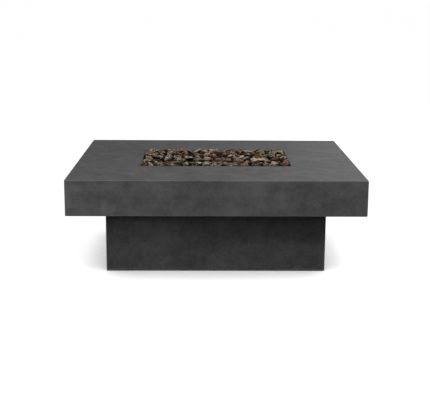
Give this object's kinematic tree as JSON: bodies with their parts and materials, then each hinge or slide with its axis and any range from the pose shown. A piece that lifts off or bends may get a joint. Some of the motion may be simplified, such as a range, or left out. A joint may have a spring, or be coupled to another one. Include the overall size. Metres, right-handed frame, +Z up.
{
  "type": "gas fire table",
  "caption": "Low rectangular gas fire table: a thick concrete slab top with a lava rock burner well, on a recessed hollow base with gas controls and an access door at the back.",
  "frame": {"origin": "on the floor under the middle of the table", "axes": "+X to the right seen from the front, +Y to the back with the controls, +Z up"},
  "size_m": [1.22, 0.915, 0.4388],
  "materials": {
    "concrete": "cast, sealed, matte, charcoal grey",
    "lava_rock": "rough, pitted, brown and grey",
    "stainless": "brushed",
    "zinc_steel": "zinc plated",
    "spring_steel": "bright drawn wire",
    "magnet": "bare ferrite",
    "aluminium": "die cast",
    "machined_aluminium": "turned and satin",
    "brass": "machined",
    "rubber": "black, matte",
    "black_plastic": "moulded, black",
    "lead_jacket": "silicone jacket",
    "ceramic": "unglazed, off-white",
    "battery_can": "plain sleeve"
  },
  "bodies": {
    "table": {"air_mixer": "aluminium", "base_shell": "concrete", "bracket_bolts": "zinc_steel", "burner": "stainless", "burner_hose": "stainless", "burner_nipple": "zinc_steel", "burner_pan": "stainless", "control_panel": "stainless", "door_frame": "stainless", "electrode_insulator": "ceramic", "frame_hinge_leaves": "stainless", "frame_screws": "stainless", "gas_valve": "aluminium", "heat_shield": "stainless", "hinge_pins": "stainless", "hose_nuts": "brass", "igniter_battery": "battery_can", "igniter_housing": "black_plastic", "igniter_nut": "stainless", "igniter_spring": "spring_steel", "ignition_lead": "lead_jacket", "inlet_fitting": "brass", "inlet_locknut": "brass", "inlet_plate": "stainless", "inlet_screws": "stainless", "knob_bezel": "stainless", "lava_rocks_lower": "lava_rock", "lava_rocks_top": "lava_rock", "magnet_catch": "magnet", "magnet_unit": "zinc_steel", "orifice_elbow": "brass", "pan_locknut": "zinc_steel", "panel_screws": "stainless", "pilot_bracket": "stainless", "rubber_glides": "rubber", "setting_pads": "rubber", "shield_nuts": "zinc_steel", "shield_studs": "zinc_steel", "spark_electrode": "stainless", "stem_spring": "spring_steel", "supply_nut": "brass", "supply_tube": "brass", "table_top": "concrete", "thermocouple": "stainless", "thermocouple_lead": "brass", "top_bolts": "zinc_steel", "top_brackets": "zinc_steel", "valve_screws": "zinc_steel", "vent_grille_left": "stainless", "vent_grille_right": "stainless", "vent_screws": "stainless"},
    "door": {"access_door": "stainless", "door_hinge_leaves": "stainless", "door_knob": "stainless", "strike_plate": "zinc_steel"},
    "safety_plunger": {"valve_plunger": "brass"},
    "knob": {"control_knob": "machined_aluminium", "valve_stem": "brass"},
    "igniter_button": {"igniter_button": "black_plastic"},
    "air_shutter": {"air_shutter": "brass"}
  },
  "joints": [
    {"name": "door_hinge", "type": "hinge", "parent": "table", "child": "door", "pos_m": [-0.349, 0.318, 0.14], "axis": [0, 0, 1], "range_deg": [0, 110]},
    {"name": "knob_push", "type": "slide", "parent": "table", "child": "safety_plunger", "axis": [0, -1, 0], "range_m": [0, 0.004], "stiffness_N_per_m": 600, "springref_m": -0.004, "deforming": ["stem_spring"]},
    {"name": "knob_turn", "type": "hinge", "parent": "safety_plunger", "child": "knob", "pos_m": [0.224, 0.3115, 0.15], "axis": [0, 1, 0], "range_deg": [0, 180]},
    {"name": "igniter_push", "type": "slide", "parent": "table", "child": "igniter_button", "axis": [0, -1, 0], "range_m": [0, 0.004], "stiffness_N_per_m": 600, "springref_m": -0.004, "deforming": ["igniter_spring"]},
    {"name": "shutter_turn", "type": "hinge", "parent": "table", "child": "air_shutter", "pos_m": [0, 0, 0.2778], "axis": [0, 0, 1], "range_deg": [0, 45]}
  ]
}
